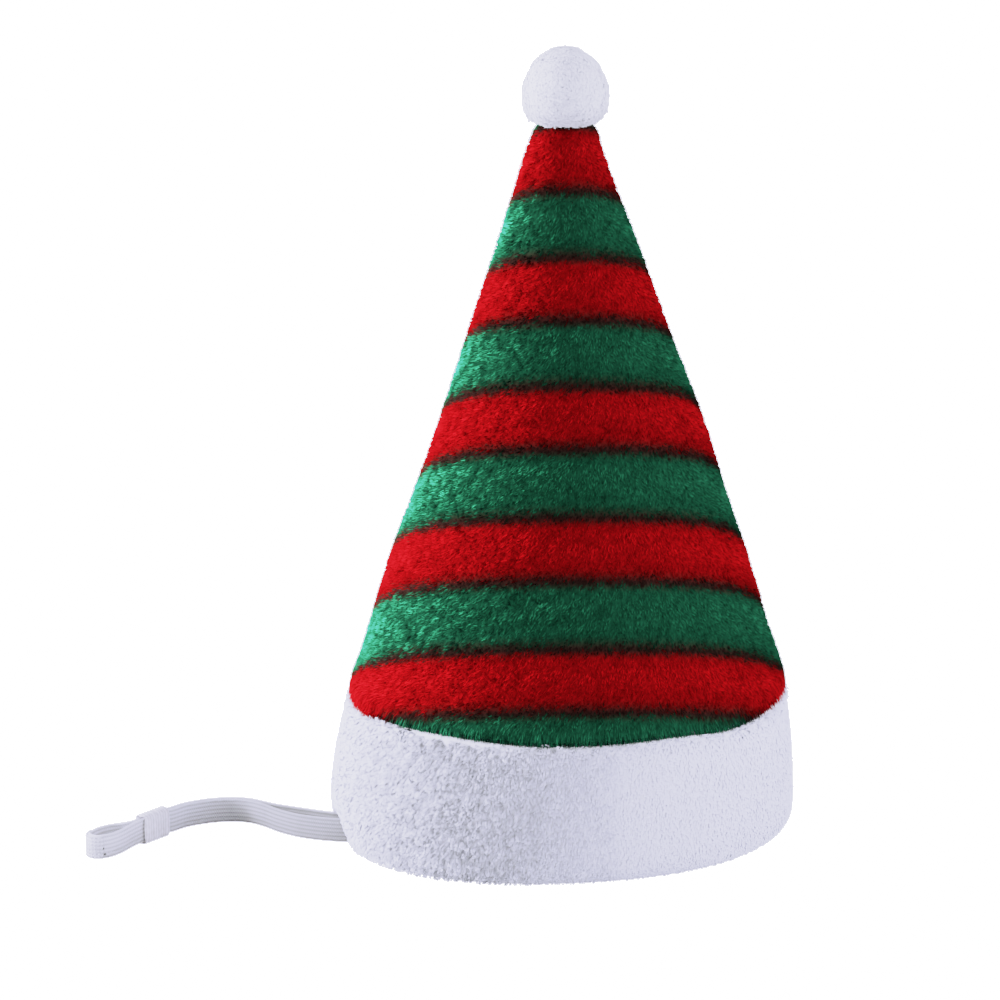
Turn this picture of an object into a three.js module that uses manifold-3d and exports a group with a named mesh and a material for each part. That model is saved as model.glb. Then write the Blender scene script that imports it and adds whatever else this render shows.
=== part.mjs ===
// A small costume hat for a pet: a tall striped plush cone with a white pompom on its tip, a padded
// white plush band round its rim, and a flat elastic chin strap with a plastic slider on it.
//
// Units are millimetres. +Z is up and -Y is the front. The origin is under the middle of the band,
// on the surface that the hat stands on. The hat is open underneath, where the head goes in.

import * as THREE from 'three';
import { mergeVertices } from 'three/addons/utils/BufferGeometryUtils.js';
import Module from 'manifold-3d';

const wasm = await Module();
wasm.setup();

// Driving dimensions of the crown
const CROWN_RADIUS = 49.6; // widest place of the cone, just above the seam
const CROWN_HEIGHT = 133.0; // from the seam to the blunt tip
const CROWN_WALL = 2.4; // backing and pile of the plush
const CROWN_OVAL = 0.015; // how far the seam is from round, as a share of its radius

// Driving dimensions of the band
const BAND_FLARE = 2.4; // how much wider the band's outer face is than the cone
const BAND_HEIGHT = 33.8; // from the floor to the seam
const BAND_THICKNESS = 8.6; // the doubled plush with its padding
const BAND_OVAL = 0.056; // how far the rim is from round, as a share of its radius
const BAND_SQUARE = 0.012; // how much fuller the rim is on its diagonals, as a share of its radius
const OVAL_TURN = 17; // direction of the rim's long way, in degrees from +X

// Driving dimensions of the pompom
const POMPOM_RADIUS = 9.35; // of the head that the tufts stand on
const POMPOM_RISE = 11.4; // from its widest place up to the top of the head
const POMPOM_DROP = 7.8; // from its widest place down to the bottom of the head
const POMPOM_SINK = 4.3; // how deep the tip of the cone sits in the pompom
const TUFT_COUNT = 52;
const TUFT_RADIUS = 1.9;
const TUFT_STAND = 0.55; // how far a tuft stands out of the head
const TUFT_VARY = 0.35; // how much the tufts differ in that, as a share
const TUFT_ROOT = 1.9; // how deep a tuft goes into the head

// Driving dimensions of the chin strap and its slider
const STRAP_WIDTH = 5.6;
const STRAP_THICKNESS = 0.8;
const STRAP_EDGE = 0.16; // how far its corners are cut off
const STRAP_STEPS = 80;
const SLIDER_LENGTH = 8.6;
const SLIDER_WALL = 0.5; // of the sleeve round the two strands
const SLIDER_CORNER = 1.4; // rounding of the sleeve
const SLOT_CORNER = 0.5; // rounding of its slot
const SLIDER_RIBS = 6;
const RIB_STAND = 0.2; // how far a rib stands out of the groove beside it
const SLIDER_X = -94.4;
const SLIDER_Y = -11.7;
const SLIDER_TURN = 51; // direction of the slot, in degrees from +X

// The hem is pushed up where the two strands pass under it.
const ARCH_MIDDLE = 194; // direction of the arch, in degrees from +X
const ARCH_HALF = 5.6; // half of its flat part, in degrees
const ARCH_RAMP = 7.0; // each of its slopes, in degrees
const ARCH_FADE = 1.5; // power with which it dies out up the band

const SEAM_GAP = 0.3; // between pieces that touch
const STRAP_GAP = 0.8; // between the strap and the hem above it
const FLOOR_GAP = 0.05; // under the strap and the slider

// Sizes that follow from the ones above
const BAND_RADIUS = CROWN_RADIUS + BAND_FLARE;
const SLOT_WIDTH = 2 * STRAP_THICKNESS + 3 * SEAM_GAP;
const SLOT_HEIGHT = STRAP_WIDTH + 2 * SEAM_GAP;
const SLIDER_THICKNESS = SLOT_WIDTH + 2 * SLIDER_WALL;
const SLIDER_HEIGHT = SLOT_HEIGHT + 2 * SLIDER_WALL;

// Number of sides of the round pieces
const CROWN_SIDES = 64;
const BAND_SIDES = 60;
const POMPOM_SIDES = 16;
const POMPOM_ROWS = 9;
const TUFT_SIDES = 5;
const CORNER_SIDES = 3; // of each rounded corner of the slider

// Outer face of the cone, from the seam up. up is a share of CROWN_HEIGHT, radius and lean are
// shares of CROWN_RADIUS, and lean is how far the middle lies towards +X.
const CROWN_SECTIONS = [
  { up: 0.0, radius: 0.972, lean: 0.024 },
  { up: 0.009, radius: 0.994, lean: 0.025 },
  { up: 0.022, radius: 1.0, lean: 0.027 },
  { up: 0.06, radius: 0.957, lean: 0.033 },
  { up: 0.095, radius: 0.924, lean: 0.03 },
  { up: 0.168, radius: 0.87, lean: 0.033 },
  { up: 0.24, radius: 0.815, lean: 0.036 },
  { up: 0.312, radius: 0.744, lean: 0.04 },
  { up: 0.382, radius: 0.682, lean: 0.05 },
  { up: 0.488, radius: 0.594, lean: 0.058 },
  { up: 0.594, radius: 0.49, lean: 0.046 },
  { up: 0.7, radius: 0.395, lean: 0.045 },
  { up: 0.8, radius: 0.303, lean: 0.045 },
  { up: 0.908, radius: 0.203, lean: 0.032 },
  { up: 0.968, radius: 0.155, lean: 0.037 },
  { up: 0.982, radius: 0.138, lean: 0.039 },
  { up: 0.992, radius: 0.1, lean: 0.041 },
  { up: 0.998, radius: 0.05, lean: 0.042 },
];
const TIP_LEAN = 0.042; // of the very tip, as a share of CROWN_RADIUS
const TOP_SECTION = 13; // the inner face follows the outer one up to this row

// How far the seam dips below its highest place. around is in degrees from +X, drop is a share of
// BAND_HEIGHT.
const SEAM_DIPS = [
  { around: 0, drop: 0.047 },
  { around: 45, drop: 0.024 },
  { around: 90, drop: 0.01 },
  { around: 135, drop: 0.024 },
  { around: 180, drop: 0.065 },
  { around: 200, drop: 0.06 },
  { around: 215, drop: 0.02 },
  { around: 235, drop: 0.0 },
  { around: 265, drop: 0.016 },
  { around: 300, drop: 0.014 },
  { around: 320, drop: 0.06 },
  { around: 345, drop: 0.053 },
];
const DIP_FADE = 0.1; // share of the cone's height over which a dip in the seam dies out

// Cross-section of the band, down its outer face and up its inner face. up is a share of
// BAND_HEIGHT, depth is measured inwards from BAND_RADIUS as a share of BAND_THICKNESS.
const BAND_SECTIONS = [
  { up: 1.0, depth: 0.34 },
  { up: 0.975, depth: 0.26 },
  { up: 0.93, depth: 0.2 },
  { up: 0.82, depth: 0.125 },
  { up: 0.67, depth: 0.06 },
  { up: 0.5, depth: 0.012 },
  { up: 0.34, depth: 0.0 },
  { up: 0.2, depth: 0.0 },
  { up: 0.09, depth: 0.03 },
  { up: 0.04, depth: 0.09 },
  { up: 0.01, depth: 0.19 },
  { up: 0.0, depth: 0.31 },
  { up: 0.0, depth: 0.7 },
  { up: 0.015, depth: 0.85 },
  { up: 0.06, depth: 0.95 },
  { up: 0.15, depth: 1.0 },
  { up: 0.3, depth: 0.99 },
  { up: 0.5, depth: 0.93 },
  { up: 0.7, depth: 0.82 },
  { up: 0.87, depth: 0.68 },
  { up: 0.96, depth: 0.56 },
  { up: 1.0, depth: 0.48 },
];
const BAND_LEAN = 0.024; // how far the top of the band lies towards +X, as a share of CROWN_RADIUS

// Places across the arch where the band has a side, from one foot of its slopes (-1) to the other
const ARCH_PLACES = [-1, -0.72, -0.44, 0, 0.44, 0.72, 1];

// Outline of a tuft. up is a share of TUFT_ROOT below the head's face and of how far the tuft stands
// out above it, radius is a share of TUFT_RADIUS.
const TUFT_SECTIONS = [
  { up: -0.6, radius: 0.7 },
  { up: 0.0, radius: 1.0 },
  { up: 0.75, radius: 0.62 },
];

// Route of the strap's centre line, from the left end sewn inside the band, out under the hem, along
// the back strand, round the tail, back along the front strand and across to the right end. lift is
// 0 where the strap stands on the floor and 1 where the slider holds it up.
const STRAP_ROUTE = [
  { x: -42.6, y: 7.6, lift: 0.0 },
  { x: -43.2, y: 3.2, lift: 0.0 },
  { x: -43.0, y: -0.8, lift: 0.0 },
  { x: -42.1, y: -4.6, lift: 0.0 },
  { x: -42.8, y: -7.9, lift: 0.0 },
  { x: -45.6, y: -9.7, lift: 0.0 },
  { x: -49.5, y: -10.0, lift: 0.0 },
  { x: -53.8, y: -8.8, lift: 0.0 },
  { x: -58.5, y: -6.7, lift: 0.0 },
  { x: -63.2, y: -4.4, lift: 0.0 },
  { x: -66.8, y: -2.5, lift: 0.0 },
  { x: -70.2, y: 0.0, lift: 0.0 },
  { x: -72.6, y: 1.55, lift: 0.0 },
  { x: -76.45, y: 2.4, lift: 0.0 },
  { x: -81.05, y: 1.95, lift: 0.0 },
  { x: -84.6, y: 0.4, lift: 0.06 },
  { x: -88.0, y: -2.3, lift: 0.29 },
  { x: -91.2, y: -6.85, lift: 0.76 },
  { x: -92.15, y: -8.0, lift: 1.0 },
  { x: -94.85, y: -11.35, lift: 1.0 },
  { x: -97.55, y: -14.7, lift: 0.94 },
  { x: -98.4, y: -15.6, lift: 0.76 },
  { x: -99.9, y: -16.2, lift: 0.53 },
  { x: -102.0, y: -16.3, lift: 0.18 },
  { x: -104.2, y: -17.0, lift: 0.0 },
  { x: -106.3, y: -18.8, lift: 0.0 },
  { x: -107.7, y: -21.1, lift: 0.0 },
  { x: -108.1, y: -23.0, lift: 0.0 },
  { x: -107.0, y: -24.3, lift: 0.0 },
  { x: -105.1, y: -24.4, lift: 0.0 },
  { x: -102.9, y: -23.0, lift: 0.0 },
  { x: -100.8, y: -20.6, lift: 0.18 },
  { x: -98.8, y: -18.0, lift: 0.65 },
  { x: -97.4, y: -16.3, lift: 0.88 },
  { x: -96.65, y: -15.4, lift: 1.0 },
  { x: -93.95, y: -12.05, lift: 1.0 },
  { x: -91.25, y: -8.7, lift: 1.0 },
  { x: -90.3, y: -7.55, lift: 0.76 },
  { x: -87.2, y: -3.1, lift: 0.29 },
  { x: -84.0, y: -0.6, lift: 0.06 },
  { x: -80.75, y: 0.85, lift: 0.0 },
  { x: -76.5, y: 1.3, lift: 0.0 },
  { x: -72.85, y: 0.45, lift: 0.0 },
  { x: -69.3, y: -2.3, lift: 0.0 },
  { x: -65.6, y: -6.5, lift: 0.0 },
  { x: -61.0, y: -10.3, lift: 0.0 },
  { x: -55.9, y: -12.7, lift: 0.0 },
  { x: -51.8, y: -13.8, lift: 0.0 },
  { x: -47.5, y: -14.5, lift: 0.0 },
  { x: -43.0, y: -14.6, lift: 0.0 },
  { x: -37.0, y: -14.4, lift: 0.0 },
  { x: -28.0, y: -14.6, lift: 0.0 },
  { x: -18.0, y: -15.4, lift: 0.0 },
  { x: -7.0, y: -16.2, lift: 0.0 },
  { x: 4.0, y: -16.2, lift: 0.0 },
  { x: 15.0, y: -14.6, lift: 0.0 },
  { x: 25.0, y: -11.2, lift: 0.0 },
  { x: 33.0, y: -6.8, lift: 0.0 },
  { x: 39.0, y: -1.6, lift: 0.0 },
  { x: 42.2, y: 3.0, lift: 0.0 },
  { x: 43.2, y: 8.0, lift: 0.0 },
  { x: 42.0, y: 13.2, lift: 0.0 },
];

const radians = THREE.MathUtils.degToRad;

// Outline of an oval seen from above: 1 where it is round, more along its long way
function ovalShare(angle, oval) {
  return 1 + oval * Math.cos(2 * (angle - radians(OVAL_TURN)));
}

// Height that the seam loses at an angle, eased from one row of the table to the next
function seamDrop(angle) {
  const turn = THREE.MathUtils.euclideanModulo(THREE.MathUtils.radToDeg(angle), 360);
  const next = SEAM_DIPS.findIndex((row) => row.around > turn);
  const after = next < 0 ? { around: 360, drop: SEAM_DIPS[0].drop } : SEAM_DIPS[next];
  const before = next < 0 ? SEAM_DIPS[SEAM_DIPS.length - 1] : SEAM_DIPS[next - 1];
  const along = (turn - before.around) / (after.around - before.around);
  const eased = THREE.MathUtils.smoothstep(along, 0, 1);
  return BAND_HEIGHT * THREE.MathUtils.lerp(before.drop, after.drop, eased);
}

// How far the hem is pushed up at an angle by the strands that pass under it
function hemLift(angle) {
  const turn = THREE.MathUtils.euclideanModulo(THREE.MathUtils.radToDeg(angle), 360);
  const away = Math.abs(turn - ARCH_MIDDLE);
  const share = 1 - THREE.MathUtils.smoothstep(away, ARCH_HALF, ARCH_HALF + ARCH_RAMP);
  return share * (STRAP_WIDTH + STRAP_GAP);
}

// Closed mesh through a row of rings. A ring of one point is a pole, and when there is no pole the
// last ring joins on to the first.
function loft(rings) {
  const points = [];
  const starts = rings.map((ring) => {
    const start = points.length;
    points.push(...ring);
    return start;
  });
  const sides = Math.max(...rings.map((ring) => ring.length));
  const faces = [];
  const hasPole = rings[0].length === 1;
  const bands = hasPole ? rings.length - 1 : rings.length;
  for (let i = 0; i < bands; i += 1) {
    const j = (i + 1) % rings.length;
    for (let k = 0; k < sides; k += 1) {
      const m = (k + 1) % sides;
      const [a, b] = [starts[i] + k, starts[i] + m];
      const [c, d] = [starts[j] + k, starts[j] + m];
      if (rings[i].length === 1) faces.push(starts[i], c, d);
      else if (rings[j].length === 1) faces.push(a, starts[j], b);
      else faces.push(a, c, d, a, d, b);
    }
  }
  const geometry = new THREE.BufferGeometry();
  geometry.setAttribute('position', new THREE.Float32BufferAttribute(points.flat(), 3));
  geometry.setIndex(faces);
  return facingOut(geometry);
}

// Turns the faces round if the mesh is inside out
function facingOut(geometry) {
  const index = geometry.index.array;
  const [a, b, c] = [new THREE.Vector3(), new THREE.Vector3(), new THREE.Vector3()];
  let volume = 0;
  for (let i = 0; i < index.length; i += 3) {
    a.fromBufferAttribute(geometry.attributes.position, index[i]);
    b.fromBufferAttribute(geometry.attributes.position, index[i + 1]);
    c.fromBufferAttribute(geometry.attributes.position, index[i + 2]);
    volume += a.dot(b.cross(c));
  }
  if (volume < 0) {
    for (let i = 0; i < index.length; i += 3) {
      [index[i + 1], index[i + 2]] = [index[i + 2], index[i + 1]];
    }
  }
  return geometry;
}

function toSolid(geometry) {
  const bare = geometry.clone();
  bare.deleteAttribute('normal');
  bare.deleteAttribute('uv');
  const merged = mergeVertices(bare, 1e-4);
  return new wasm.Manifold(new wasm.Mesh({
    numProp: 3,
    vertProperties: new Float32Array(merged.attributes.position.array),
    triVerts: new Uint32Array(merged.index.array),
  }));
}

function toGeometry(solid) {
  const mesh = solid.getMesh();
  const geometry = new THREE.BufferGeometry();
  geometry.setAttribute('position', new THREE.Float32BufferAttribute(mesh.vertProperties, 3));
  geometry.setIndex(Array.from(mesh.triVerts));
  return geometry;
}

function namedMesh(name, geometry, colour, roughness) {
  geometry.computeVertexNormals();
  const material = new THREE.MeshStandardMaterial({ color: colour, roughness, metalness: 0 });
  const mesh = new THREE.Mesh(geometry, material);
  mesh.name = name;
  return mesh;
}

// One ring of the cone: up and radius are shares, grow is how far the face moves out (in if less
// than 0)
function crownRing(section, grow) {
  const ring = [];
  const seam = BAND_HEIGHT + SEAM_GAP;
  const fade = Math.max(0, 1 - section.up / DIP_FADE);
  const oval = CROWN_OVAL * Math.max(0, 1 - 2 * section.up);
  for (let k = 0; k < CROWN_SIDES; k += 1) {
    const angle = (2 * Math.PI * k) / CROWN_SIDES;
    const radius = (section.radius * CROWN_RADIUS + grow) * ovalShare(angle, oval);
    ring.push([
      section.lean * CROWN_RADIUS + radius * Math.cos(angle),
      radius * Math.sin(angle),
      seam + section.up * CROWN_HEIGHT - fade * seamDrop(angle),
    ]);
  }
  return ring;
}

// Pole of the cone, lowered by some length below the tip
function crownPole(lower) {
  const height = BAND_HEIGHT + SEAM_GAP + CROWN_HEIGHT - lower;
  return [[TIP_LEAN * CROWN_RADIUS, 0, height]];
}

// The cone: one hollow shell, open below, whose lower edge is drawn in to the seam
function crownGeometry() {
  const outer = CROWN_SECTIONS.map((section) => crownRing(section, 0)).reverse();
  const inner = CROWN_SECTIONS
    .filter((section, row) => row <= TOP_SECTION && row !== 1)
    .map((section, row) => crownRing(section, row === 0 ? -CROWN_WALL / 2 : -CROWN_WALL));
  return loft([crownPole(0), ...outer, ...inner, crownPole(2 * CROWN_WALL)]);
}

// The top of the cone as one solid, grown by the gap, which the pompom is hollowed with
function crownTipSolid() {
  const rings = CROWN_SECTIONS
    .filter((section, row) => row >= TOP_SECTION)
    .map((section) => crownRing(section, SEAM_GAP));
  const floor = [[TIP_LEAN * CROWN_RADIUS, 0, rings[0][0][2]]];
  return toSolid(loft([floor, ...rings, crownPole(-SEAM_GAP)]));
}

// Directions round the band, closer together on the slopes of the arch
function bandAngles() {
  const step = 360 / BAND_SIDES;
  const reach = ARCH_HALF + ARCH_RAMP;
  const even = [...Array(BAND_SIDES).keys()].map((k) => k * step);
  const outside = even.filter((turn) => Math.abs(turn - ARCH_MIDDLE) > reach + step / 3);
  const fine = ARCH_PLACES.map((share) => ARCH_MIDDLE + share * reach);
  return [...outside, ...fine].sort((a, b) => a - b).map(radians);
}

// The band: a padded ring of doubled plush, fuller and more oval towards the hem
function bandGeometry() {
  const angles = bandAngles();
  const rings = BAND_SECTIONS.map((section) => angles.map((angle) => {
    const oval = THREE.MathUtils.lerp(BAND_OVAL, CROWN_OVAL, section.up);
    const square = BAND_SQUARE * (1 - section.up) * Math.cos(4 * (angle - Math.PI / 4));
    const plan = ovalShare(angle, oval) + square;
    const radius = (BAND_RADIUS - section.depth * BAND_THICKNESS) * plan;
    const below = (1 - section.up) ** ARCH_FADE;
    return [
      BAND_LEAN * CROWN_RADIUS * section.up ** 2 + radius * Math.cos(angle),
      radius * Math.sin(angle),
      section.up * (BAND_HEIGHT - seamDrop(angle)) + below * hemLift(angle),
    ];
  }));
  return loft(rings);
}

// The head of the pompom: an egg that is fuller above its widest place than below it
function pompomHead(middle) {
  const rings = [...Array(POMPOM_ROWS - 1).keys()].map((row) => {
    const polar = (Math.PI * (row + 1)) / POMPOM_ROWS;
    const reach = Math.cos(polar) > 0 ? POMPOM_RISE : POMPOM_DROP;
    const radius = POMPOM_RADIUS * Math.sin(polar);
    return [...Array(POMPOM_SIDES).keys()].map((k) => {
      const angle = (2 * Math.PI * k) / POMPOM_SIDES;
      return [
        middle.x + radius * Math.cos(angle),
        radius * Math.sin(angle),
        middle.z + reach * Math.cos(polar),
      ];
    });
  });
  const top = [[middle.x, 0, middle.z + POMPOM_RISE]];
  const bottom = [[middle.x, 0, middle.z - POMPOM_DROP]];
  return toSolid(loft([top, ...rings, bottom]));
}

// One blunt tuft, standing on the head and widening a little before it ends in a dome
function tuft(middle, direction, stand) {
  const reach = direction.z > 0 ? POMPOM_RISE : POMPOM_DROP;
  const foot = new THREE.Vector3(
    direction.x * POMPOM_RADIUS,
    direction.y * POMPOM_RADIUS,
    direction.z * reach,
  );
  const across = new THREE.Vector3(-direction.y, direction.x, 0).normalize();
  const upward = new THREE.Vector3().crossVectors(direction, across);
  const rings = TUFT_SECTIONS.map((section) => [...Array(TUFT_SIDES).keys()].map((k) => {
    const angle = (2 * Math.PI * k) / TUFT_SIDES;
    const radius = section.radius * TUFT_RADIUS;
    const height = section.up * (section.up < 0 ? TUFT_ROOT : stand);
    return foot.clone().add(middle)
      .addScaledVector(direction, height)
      .addScaledVector(across, radius * Math.cos(angle))
      .addScaledVector(upward, radius * Math.sin(angle))
      .toArray();
  }));
  const top = foot.clone().add(middle).addScaledVector(direction, stand).toArray();
  const root = foot.clone().add(middle).addScaledVector(direction, -TUFT_ROOT).toArray();
  return toSolid(loft([[root], ...rings, [top]]));
}

// The pompom: tufts spread over the head on a golden spiral and fused to it, with the seat of the
// cone's tip cut into its underside
function pompomGeometry() {
  const tip = BAND_HEIGHT + SEAM_GAP + CROWN_HEIGHT;
  const middle = new THREE.Vector3(
    TIP_LEAN * CROWN_RADIUS,
    0,
    tip - POMPOM_SINK + POMPOM_DROP,
  );
  const golden = Math.PI * (3 - Math.sqrt(5));
  let pompom = pompomHead(middle);
  for (let k = 0; k < TUFT_COUNT; k += 1) {
    const z = 1 - (2 * (k + 0.5)) / TUFT_COUNT;
    const flat = Math.sqrt(1 - z * z);
    const direction = new THREE.Vector3(flat * Math.cos(golden * k), flat * Math.sin(golden * k), z);
    const stand = TUFT_STAND * (1 + TUFT_VARY * Math.sin(5.1 * k));
    pompom = pompom.add(tuft(middle, direction, stand));
  }
  return toGeometry(pompom.subtract(crownTipSolid()));
}

// A route along which a section keeps its own x axis upright
class UprightRoute extends THREE.CatmullRomCurve3 {
  computeFrenetFrames(steps) {
    const frames = { tangents: [], normals: [], binormals: [] };
    for (let i = 0; i <= steps; i += 1) {
      const tangent = this.getTangentAt(i / steps);
      const across = new THREE.Vector3(tangent.y, -tangent.x, 0).normalize();
      frames.tangents.push(tangent);
      frames.normals.push(new THREE.Vector3().crossVectors(across, tangent));
      frames.binormals.push(across);
    }
    return frames;
  }
}

// The strap: a flat ribbon that stands on its edge all along its route
function strapGeometry() {
  const half = STRAP_WIDTH / 2;
  const side = STRAP_THICKNESS / 2;
  const section = new THREE.Shape([
    new THREE.Vector2(-half, STRAP_EDGE - side),
    new THREE.Vector2(STRAP_EDGE - half, -side),
    new THREE.Vector2(half - STRAP_EDGE, -side),
    new THREE.Vector2(half, STRAP_EDGE - side),
    new THREE.Vector2(half, side - STRAP_EDGE),
    new THREE.Vector2(half - STRAP_EDGE, side),
    new THREE.Vector2(STRAP_EDGE - half, side),
    new THREE.Vector2(-half, side - STRAP_EDGE),
  ]);
  const rise = (SLIDER_HEIGHT - STRAP_WIDTH) / 2;
  const points = STRAP_ROUTE.map(({ x, y, lift }) => (
    new THREE.Vector3(x, y, FLOOR_GAP + half + lift * rise)
  ));
  const route = new UprightRoute(points, false, 'centripetal');
  route.arcLengthDivisions = 20 * points.length;
  const ribbon = new THREE.ExtrudeGeometry(section, { steps: STRAP_STEPS, extrudePath: route });
  return toGeometry(toSolid(ribbon));
}

// Rounded rectangle in the slider's cross-section, at a distance along the slot
function sliderRing(along, width, height, corner) {
  const turn = radians(SLIDER_TURN);
  const corners = [[1, 1, 0], [-1, 1, 1], [-1, -1, 2], [1, -1, 3]];
  const ring = [];
  for (const [signAcross, signUp, quarter] of corners) {
    for (let k = 0; k <= CORNER_SIDES; k += 1) {
      const angle = (Math.PI / 2) * (quarter + k / CORNER_SIDES);
      const across = signAcross * (width / 2 - corner) + corner * Math.cos(angle);
      const upward = signUp * (height / 2 - corner) + corner * Math.sin(angle);
      ring.push([
        SLIDER_X + along * Math.cos(turn) - across * Math.sin(turn),
        SLIDER_Y + along * Math.sin(turn) + across * Math.cos(turn),
        FLOOR_GAP + SLIDER_HEIGHT / 2 + upward,
      ]);
    }
  }
  return ring;
}

// The slider: a ribbed sleeve whose slot holds both strands side by side
function sliderGeometry() {
  const half = SLIDER_LENGTH / 2;
  const pitch = SLIDER_LENGTH / SLIDER_RIBS;
  const outerRing = (along, shrink) => sliderRing(
    along,
    SLIDER_THICKNESS - 2 * shrink,
    SLIDER_HEIGHT - 2 * shrink,
    SLIDER_CORNER - shrink,
  );
  const rings = [outerRing(-half, 2 * RIB_STAND)];
  for (let rib = 0; rib < SLIDER_RIBS; rib += 1) {
    const start = -half + rib * pitch;
    rings.push(outerRing(start + 0.25 * pitch, 0));
    rings.push(outerRing(start + 0.75 * pitch, 0));
    if (rib < SLIDER_RIBS - 1) rings.push(outerRing(start + pitch, RIB_STAND));
  }
  rings.push(outerRing(half, 2 * RIB_STAND));
  rings.push(sliderRing(half, SLOT_WIDTH, SLOT_HEIGHT, SLOT_CORNER));
  rings.push(sliderRing(-half, SLOT_WIDTH, SLOT_HEIGHT, SLOT_CORNER));
  return loft(rings);
}

const hat = new THREE.Group();
hat.add(
  namedMesh('crown', crownGeometry(), 0xb3161c, 0.95),
  namedMesh('brim_band', bandGeometry(), 0xe4e4ee, 0.95),
  namedMesh('pompom', pompomGeometry(), 0xe9e9f0, 0.95),
  namedMesh('elastic_strap', strapGeometry(), 0xd8d7e0, 0.7),
  namedMesh('strap_slider', sliderGeometry(), 0xe2e0e8, 0.45),
);

export default hat;
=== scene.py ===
# A striped plush hat for a pet, with a white plush band, a pompom and an elastic chin strap.
# Lengths are metres, +Z is up and the front faces -Y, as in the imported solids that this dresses.

import math

import bpy
import numpy as np
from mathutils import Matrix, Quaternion, Vector, noise
from mathutils.kdtree import KDTree


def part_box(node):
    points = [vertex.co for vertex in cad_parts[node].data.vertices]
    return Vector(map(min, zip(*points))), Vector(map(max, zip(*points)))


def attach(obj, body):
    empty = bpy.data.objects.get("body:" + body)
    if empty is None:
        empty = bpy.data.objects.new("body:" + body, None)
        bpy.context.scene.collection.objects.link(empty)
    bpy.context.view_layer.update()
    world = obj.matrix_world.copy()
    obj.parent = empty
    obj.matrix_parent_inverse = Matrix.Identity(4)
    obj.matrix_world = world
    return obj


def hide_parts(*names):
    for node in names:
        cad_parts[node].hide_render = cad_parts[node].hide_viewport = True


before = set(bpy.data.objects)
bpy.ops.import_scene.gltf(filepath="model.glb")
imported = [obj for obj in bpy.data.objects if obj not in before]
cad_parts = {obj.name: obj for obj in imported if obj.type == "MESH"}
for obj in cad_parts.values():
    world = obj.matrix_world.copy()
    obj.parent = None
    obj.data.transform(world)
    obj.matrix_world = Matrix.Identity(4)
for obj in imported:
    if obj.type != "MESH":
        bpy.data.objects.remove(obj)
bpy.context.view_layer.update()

bpy.ops.object.select_all(action="DESELECT")


# Camera

# A long lens on a low tripod in front of the hat, looking a little down on it. The hat stands
# right of the picture's middle, so that its strap has room on the left.
CAMERA_PLACE = Vector((0.0, -1.3539, 0.4494))
CAMERA_AIM = Vector((-0.0137, 0.0, 0.0773))
CAMERA_ROLL = math.radians(-0.68)
CAMERA_LENS = 221.05  # millimetres, as the film's width is
FILM_WIDTH = 36

bpy.ops.object.camera_add(location=CAMERA_PLACE)
camera = bpy.context.object
camera.rotation_mode = "QUATERNION"
looking = (CAMERA_AIM - CAMERA_PLACE).to_track_quat("-Z", "Y")
camera.rotation_quaternion = looking @ Quaternion((0, 0, 1), CAMERA_ROLL)
camera.data.lens = CAMERA_LENS
camera.data.sensor_width = FILM_WIDTH
bpy.context.scene.camera = camera


# Chin elastic

# A flat white elastic, woven with lengthwise ribs. One length of it is sewn into both sides of the
# band, comes out under the hem on the left, and is doubled through the slider into a short tail.
ELASTIC_WIDTH = 0.0056
ELASTIC_THICKNESS = 0.0008
ELASTIC_RIBS = 6
RIB_DEPTH = 0.00011
EDGE_SHARPNESS = 14  # a higher power leaves the two edges less rounded
EDGE_THICKNESS = 0.25  # share of the thickness that is left at an edge
PICK_LENGTH = 0.55  # millimetres from one cross thread to the next
RIB_GROOVE_SHADE = 0.3  # how much a rib differs from a groove, the groove greyer as painted shade
WEAVE_GAP_SHADE = 0.15  # and a cross thread from the gap beside it, the gap greyer as painted shade
MIDDLE_TINT = 0.55
ELASTIC_TINTS = [  # a needle hole, a groove greyed by painted shade, the weave and a rib
    (0.0, (0.01, 0.01, 0.01)), (0.1, (0.30, 0.30, 0.32)),
    (0.55, (0.44, 0.44, 0.47)), (1.0, (0.54, 0.54, 0.575)),
]
WEAVE_RELIEF = 0.00008
STEPS_PER_POINT = 6
FLOOR_LIFT = 0.00285  # the elastic's middle where it stands on the floor
SLIDER_LIFT = 0.0008  # how much higher the slider holds it
FRONT_OF_TAIL = slice(168, 192)  # steps of the line where the tail runs back to the slider
NEEDLE_HOLES = [(-0.1051, -0.35), (-0.1047, -1.8)]  # (x in metres, millimetres above the middle)
HOLE_RADIUS = 0.24  # millimetres
HOLE_RIM = 0.05  # how softly the hole's dark ends
HOLE_FALL = 3.0  # the power by which it darkens towards its middle
# Painted light and shade along X: the elastic's colour is raised on the slack tail, which faces the
# light, and lowered beside the hat, where it lies in shade
LIGHT_AND_SHADE_ALONG_X = [(-0.104, 1.25), (-0.089, 1.3), (-0.080, 1.0), (-0.069, 0.56), (-0.060, 0.60),
             (-0.052, 0.72)]
LIGHT_AND_SHADE_FROM = -0.11  # the ramp of whiteness starts here
LIGHT_AND_SHADE_REACH = 0.1  # and runs this far along X
LIGHT_AND_SHADE_MOST = 2.0
LIT_SHARE_AT_FLOOR = 0.87  # painted shade: share of its colour that the elastic keeps down at the floor
LIT_SHARE_UP = 45.0  # how much that share grows for each metre up

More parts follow.
